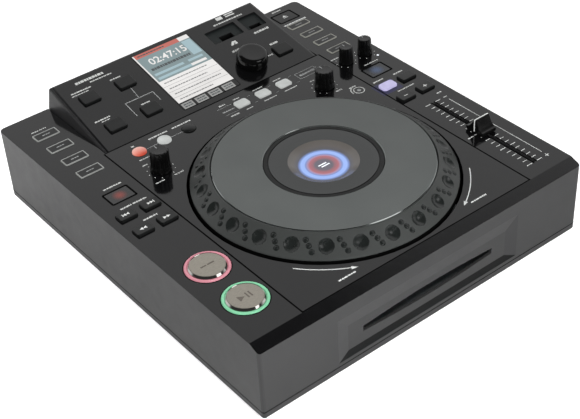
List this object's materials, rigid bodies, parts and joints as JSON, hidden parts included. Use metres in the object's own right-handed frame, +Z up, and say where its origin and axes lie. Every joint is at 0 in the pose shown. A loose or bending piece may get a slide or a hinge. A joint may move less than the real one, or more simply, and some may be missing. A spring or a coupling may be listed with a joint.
{
  "type": "tabletop disc player",
  "caption": "Tabletop disc player with a rotating jog wheel, a sloping display console, push keys, rotary knobs, a pitch fader and a slot for discs in its front.",
  "frame": {"origin": "centre of the box's footprint, at the feet's underside", "axes": "+X to the right, +Y to the back, +Z up, as the user at the front sees it"},
  "size_m": [0.322, 0.3576, 0.0907],
  "materials": {
    "gloss_housing": "glossy black",
    "base": "satin black",
    "key": "satin black",
    "lit_key": "translucent, lit from below",
    "lit_red_key": "translucent, lit from below",
    "lit_violet_key": "translucent, lit from below",
    "smoked_key": "smoked, lit from below",
    "light_guide": "translucent, lit from below",
    "cap_metal": "brushed with a polished bevel",
    "knob": "matt black",
    "browse_knob": "glossy black",
    "wheel_ring": "satin dark grey",
    "wheel_plate": "fine satin grey",
    "window": "glossy window",
    "lens": "clear over a lit screen",
    "steel": "zinc plated",
    "board": "solder mask",
    "foot_rubber": "matt black"
  },
  "bodies": {
    "housing": {"top_cover": "gloss_housing", "centre_panel": "gloss_housing", "riser_housing": "gloss_housing", "base_plate": "base", "foot_front_left": "foot_rubber", "foot_front_right": "foot_rubber", "foot_back_left": "foot_rubber", "foot_back_right": "foot_rubber", "display_lens": "lens", "console_board": "board", "jog_hub": "steel", "jog_display": "window", "disc_drive": "steel", "main_board": "board", "power_supply": "board", "light_guide": "light_guide", "fader_rail": "steel"},
    "jog_wheel": {"jog_ring": "wheel_ring", "jog_plate": "wheel_plate"},
    "turntable": {"disc_turntable": "key"},
    "fader_cap": {"pitch_fader": "knob"},
    "browse_stem": {"browse_shaft": "steel"},
    "browse_cap": {"browse_knob": "browse_knob"},
    "rocker": {"power_rocker": "key"},
    "stop_time_knob": {"stop_time_knob": "knob"},
    "start_time_knob": {"start_time_knob": "knob"},
    "jog_weight_knob": {"jog_weight_knob": "knob"},
    "touch_adjust_knob": {"touch_adjust_knob": "knob"},
    "source_key_1": {"source_key_1": "key"},
    "mode_key_1": {"mode_key_1": "key"},
    "source_key_2": {"source_key_2": "key"},
    "mode_key_2": {"mode_key_2": "key"},
    "source_key_3": {"source_key_3": "key"},
    "mode_key_3": {"mode_key_3": "key"},
    "source_key_4": {"source_key_4": "key"},
    "mode_key_4": {"mode_key_4": "key"},
    "search_back_key": {"search_back_key": "key"},
    "search_forward_key": {"search_forward_key": "key"},
    "track_back_key": {"track_back_key": "key"},
    "track_next_key": {"track_next_key": "key"},
    "key_lock_key": {"key_lock_key": "lit_violet_key"},
    "tempo_range_key": {"tempo_range_key": "key"},
    "tempo_minus_key": {"tempo_minus_key": "key"},
    "tempo_plus_key": {"tempo_plus_key": "key"},
    "reverse_key": {"reverse_key": "smoked_key"},
    "eject_key": {"eject_key": "key"},
    "vinyl_mode_key": {"vinyl_mode_key": "smoked_key"},
    "hot_cue_pad_1": {"hot_cue_pad_1": "lit_key"},
    "hot_cue_pad_2": {"hot_cue_pad_2": "lit_key"},
    "hot_cue_pad_3": {"hot_cue_pad_3": "lit_key"},
    "loop_in_key": {"loop_in_key": "lit_red_key"},
    "loop_out_key": {"loop_out_key": "lit_key"},
    "reloop_key": {"reloop_key": "key"},
    "cue_button": {"cue_button": "cap_metal"},
    "play_pause_button": {"play_pause_button": "cap_metal"},
    "menu_key_1": {"menu_key_1": "key"},
    "menu_key_2": {"menu_key_2": "key"},
    "menu_key_3": {"menu_key_3": "key"},
    "menu_key_4": {"menu_key_4": "key"},
    "back_key": {"back_key": "key"}
  },
  "joints": [
    {"name": "jog_spin", "type": "hinge", "parent": "housing", "child": "jog_wheel", "pos_m": [0, -0.0563, 0.0709], "axis": [0, 0, 1], "continuous": true},
    {"name": "turntable_spin", "type": "hinge", "parent": "housing", "child": "turntable", "pos_m": [0, -0.1078, 0.0278], "axis": [0, 0, 1], "continuous": true},
    {"name": "pitch_slide", "type": "slide", "parent": "housing", "child": "fader_cap", "axis": [0, 1, 0], "range_m": [-0.0532, 0.0494]},
    {"name": "browse_push", "type": "slide", "parent": "housing", "child": "browse_stem", "axis": [0, 0.2087, -0.978], "range_m": [0, 0.0008], "stiffness_N_per_m": 800},
    {"name": "browse_turn", "type": "hinge", "parent": "browse_stem", "child": "browse_cap", "pos_m": [0.05632, 0.10961, 0.07614], "axis": [0, -0.2087, 0.978], "continuous": true},
    {"name": "rocker_tilt", "type": "hinge", "parent": "housing", "child": "rocker", "pos_m": [0.13846, 0.1749, 0.038], "axis": [1, 0, 0], "range_deg": [0, 16]},
    {"name": "stop_time_knob_turn", "type": "hinge", "parent": "housing", "child": "stop_time_knob", "pos_m": [0.12362, 0.06061, 0.0709], "axis": [0, 0, 1], "range_deg": [-150, 150]},
    {"name": "start_time_knob_turn", "type": "hinge", "parent": "housing", "child": "start_time_knob", "pos_m": [0.1455, 0.06061, 0.0709], "axis": [0, 0, 1], "range_deg": [-150, 150]},
    {"name": "jog_weight_knob_turn", "type": "hinge", "parent": "housing", "child": "jog_weight_knob", "pos_m": [-0.091, 0.0383, 0.0709], "axis": [0, 0, 1], "range_deg": [-150, 150]},
    {"name": "touch_adjust_knob_turn", "type": "hinge", "parent": "housing", "child": "touch_adjust_knob", "pos_m": [0.0838, 0.043, 0.0709], "axis": [0, 0, 1], "range_deg": [-150, 150]},
    {"name": "source_key_1_press", "type": "slide", "parent": "housing", "child": "source_key_1", "axis": [0, 0, -1], "range_m": [0, 0.0006], "stiffness_N_per_m": 600},
    {"name": "mode_key_1_press", "type": "slide", "parent": "housing", "child": "mode_key_1", "axis": [0, 0, -1], "range_m": [0, 0.0006], "stiffness_N_per_m": 600},
    {"name": "source_key_2_press", "type": "slide", "parent": "housing", "child": "source_key_2", "axis": [0, 0, -1], "range_m": [0, 0.0006], "stiffness_N_per_m": 600},
    {"name": "mode_key_2_press", "type": "slide", "parent": "housing", "child": "mode_key_2", "axis": [0, 0, -1], "range_m": [0, 0.0006], "stiffness_N_per_m": 600},
    {"name": "source_key_3_press", "type": "slide", "parent": "housing", "child": "source_key_3", "axis": [0, 0, -1], "range_m": [0, 0.0006], "stiffness_N_per_m": 600},
    {"name": "mode_key_3_press", "type": "slide", "parent": "housing", "child": "mode_key_3", "axis": [0, 0, -1], "range_m": [0, 0.0006], "stiffness_N_per_m": 600},
    {"name": "source_key_4_press", "type": "slide", "parent": "housing", "child": "source_key_4", "axis": [0, 0, -1], "range_m": [0, 0.0006], "stiffness_N_per_m": 600},
    {"name": "mode_key_4_press", "type": "slide", "parent": "housing", "child": "mode_key_4", "axis": [0, 0, -1], "range_m": [0, 0.0006], "stiffness_N_per_m": 600},
    {"name": "search_back_key_press", "type": "slide", "parent": "housing", "child": "search_back_key", "axis": [0, 0, -1], "range_m": [0, 0.0012], "stiffness_N_per_m": 600},
    {"name": "search_forward_key_press", "type": "slide", "parent": "housing", "child": "search_forward_key", "axis": [0, 0, -1], "range_m": [0, 0.0012], "stiffness_N_per_m": 600},
    {"name": "track_back_key_press", "type": "slide", "parent": "housing", "child": "track_back_key", "axis": [0, 0, -1], "range_m": [0, 0.0012], "stiffness_N_per_m": 600},
    {"name": "track_next_key_press", "type": "slide", "parent": "housing", "child": "track_next_key", "axis": [0, 0, -1], "range_m": [0, 0.0012], "stiffness_N_per_m": 600},
    {"name": "key_lock_key_press", "type": "slide", "parent": "housing", "child": "key_lock_key", "axis": [0, 0, -1], "range_m": [0, 0.0012], "stiffness_N_per_m": 600},
    {"name": "tempo_range_key_press", "type": "slide", "parent": "housing", "child": "tempo_range_key", "axis": [0, 0, -1], "range_m": [0, 0.0012], "stiffness_N_per_m": 600},
    {"name": "tempo_minus_key_press", "type": "slide", "parent": "housing", "child": "tempo_minus_key", "axis": [0, 0, -1], "range_m": [0, 0.0012], "stiffness_N_per_m": 600},
    {"name": "tempo_plus_key_press", "type": "slide", "parent": "housing", "child": "tempo_plus_key", "axis": [0, 0, -1], "range_m": [0, 0.0012], "stiffness_N_per_m": 600},
    {"name": "reverse_key_press", "type": "slide", "parent": "housing", "child": "reverse_key", "axis": [0, 0, -1], "range_m": [0, 0.0008], "stiffness_N_per_m": 600},
    {"name": "eject_key_press", "type": "slide", "parent": "housing", "child": "eject_key", "axis": [0, 0, -1], "range_m": [0, 0.0008], "stiffness_N_per_m": 600},
    {"name": "vinyl_mode_key_press", "type": "slide", "parent": "housing", "child": "vinyl_mode_key", "axis": [0, 0, -1], "range_m": [0, 0.0008], "stiffness_N_per_m": 600},
    {"name": "hot_cue_pad_1_press", "type": "slide", "parent": "housing", "child": "hot_cue_pad_1", "axis": [0, 0, -1], "range_m": [0, 0.0006], "stiffness_N_per_m": 600},
    {"name": "hot_cue_pad_2_press", "type": "slide", "parent": "housing", "child": "hot_cue_pad_2", "axis": [0, 0, -1], "range_m": [0, 0.0006], "stiffness_N_per_m": 600},
    {"name": "hot_cue_pad_3_press", "type": "slide", "parent": "housing", "child": "hot_cue_pad_3", "axis": [0, 0, -1], "range_m": [0, 0.0006], "stiffness_N_per_m": 600},
    {"name": "loop_in_key_press", "type": "slide", "parent": "housing", "child": "loop_in_key", "axis": [0, 0, -1], "range_m": [0, 0.001], "stiffness_N_per_m": 600},
    {"name": "loop_out_key_press", "type": "slide", "parent": "housing", "child": "loop_out_key", "axis": [0, 0, -1], "range_m": [0, 0.001], "stiffness_N_per_m": 600},
    {"name": "reloop_key_press", "type": "slide", "parent": "housing", "child": "reloop_key", "axis": [0, 0, -1], "range_m": [0, 0.001], "stiffness_N_per_m": 600},
    {"name": "cue_button_press", "type": "slide", "parent": "housing", "child": "cue_button", "axis": [0, 0, -1], "range_m": [0, 0.0015], "stiffness_N_per_m": 600},
    {"name": "play_pause_button_press", "type": "slide", "parent": "housing", "child": "play_pause_button", "axis": [0, 0, -1], "range_m": [0, 0.0015], "stiffness_N_per_m": 600},
    {"name": "menu_key_1_press", "type": "slide", "parent": "housing", "child": "menu_key_1", "axis": [0, 0.2087, -0.978], "range_m": [0, 0.0012], "stiffness_N_per_m": 600},
    {"name": "menu_key_2_press", "type": "slide", "parent": "housing", "child": "menu_key_2", "axis": [0, 0.2087, -0.978], "range_m": [0, 0.0012], "stiffness_N_per_m": 600},
    {"name": "menu_key_3_press", "type": "slide", "parent": "housing", "child": "menu_key_3", "axis": [0, 0.2087, -0.978], "range_m": [0, 0.0012], "stiffness_N_per_m": 600},
    {"name": "menu_key_4_press", "type": "slide", "parent": "housing", "child": "menu_key_4", "axis": [0, 0.2087, -0.978], "range_m": [0, 0.0012], "stiffness_N_per_m": 600},
    {"name": "back_key_press", "type": "slide", "parent": "housing", "child": "back_key", "axis": [0, 0.2087, -0.978], "range_m": [0, 0.0012], "stiffness_N_per_m": 600}
  ]
}
